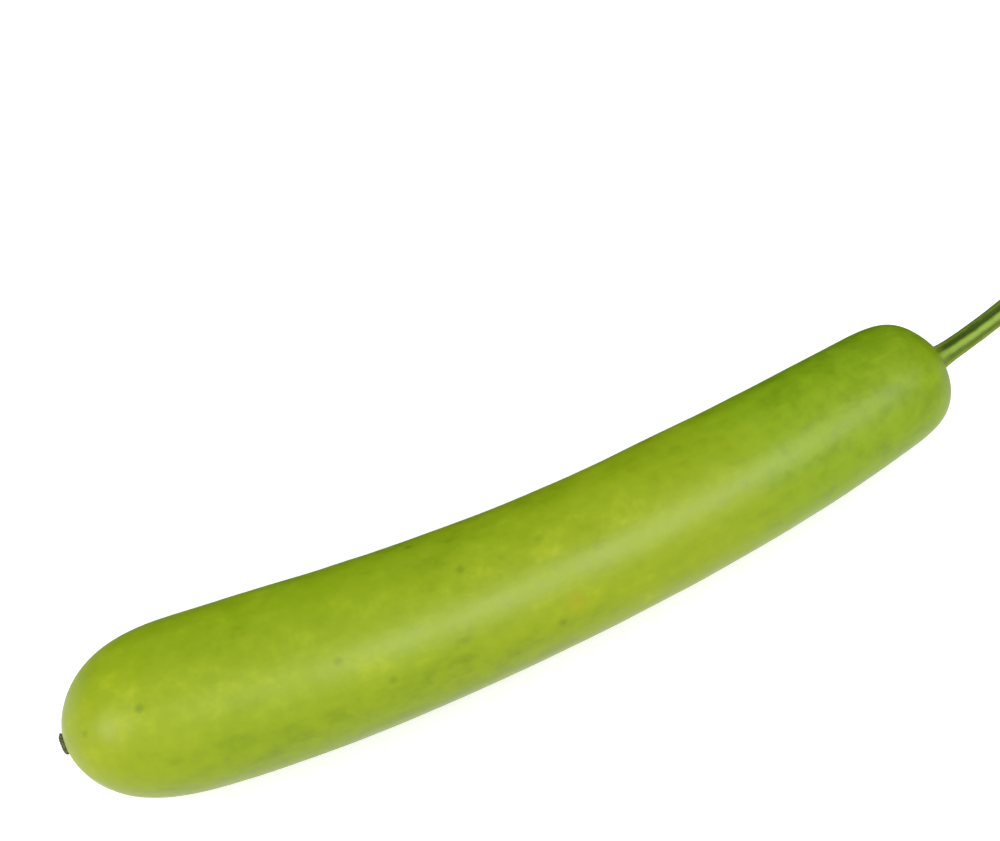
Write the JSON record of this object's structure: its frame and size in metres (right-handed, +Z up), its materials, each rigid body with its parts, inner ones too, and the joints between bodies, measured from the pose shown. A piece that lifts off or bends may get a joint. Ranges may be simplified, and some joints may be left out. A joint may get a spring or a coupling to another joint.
{
  "type": "bottle gourd",
  "caption": "Long, gently bent green bottle gourd with its cut stem and dried blossom scar, lying on its side.",
  "frame": {"origin": "on the surface the gourd lies on, under the middle of its bounding box", "axes": "+X along the gourd from the blossom scar to the stem, +Z up; the two ends bend towards +Y"},
  "size_m": [0.4386, 0.0782, 0.0711],
  "materials": {
    "gourd_skin": "smooth satin yellow-green skin, faintly mottled and streaked along its length",
    "stem_skin": "ribbed green stem, paler on its ribs, with a pale cut end",
    "dried_scar": "dry, dark olive-brown, matt"
  },
  "bodies": {
    "root": {"fruit": "gourd_skin", "stem": "stem_skin", "blossom_scar": "dried_scar"}
  },
  "joints": []
}
